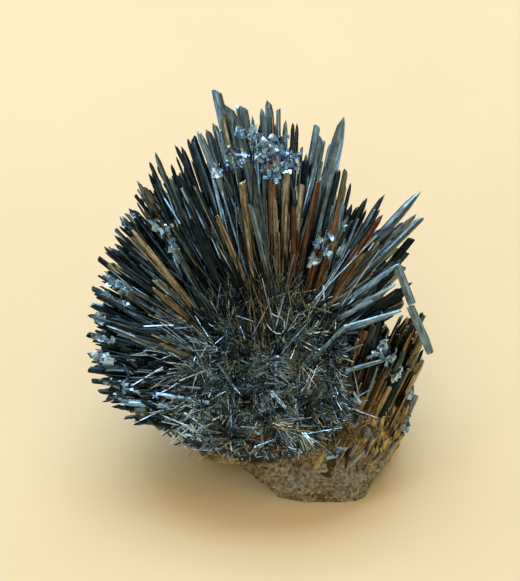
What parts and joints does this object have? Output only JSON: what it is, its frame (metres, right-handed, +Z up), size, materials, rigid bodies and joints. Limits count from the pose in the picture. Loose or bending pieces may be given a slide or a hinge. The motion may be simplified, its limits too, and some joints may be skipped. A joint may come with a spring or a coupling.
{
  "type": "stibnite crystal spray",
  "caption": "Radiating spray of long dark metallic stibnite blades round a felted heart, on a brown matrix rock that is cut flat to rest on.",
  "frame": {"origin": "a point on the rock's flat cut, straight below the felted heart of the spray", "axes": "+Z up from the flat cut, +X to the right across the open face, +Y away from the side that the open face leans towards"},
  "size_m": [0.0868, 0.0703, 0.0798],
  "materials": {
    "stibnite": "dark grey metallic lustre, striated along the blades",
    "matrix": "rough, earthy, iron-stained"
  },
  "bodies": {
    "root": {"crystal_spray": "stibnite", "matrix_rock": "matrix", "loose_blade_upper": "stibnite", "loose_blade_lower": "stibnite", "loose_needle_bent": "stibnite", "loose_needle_left": "stibnite", "loose_needle_low": "stibnite"}
  },
  "joints": []
}
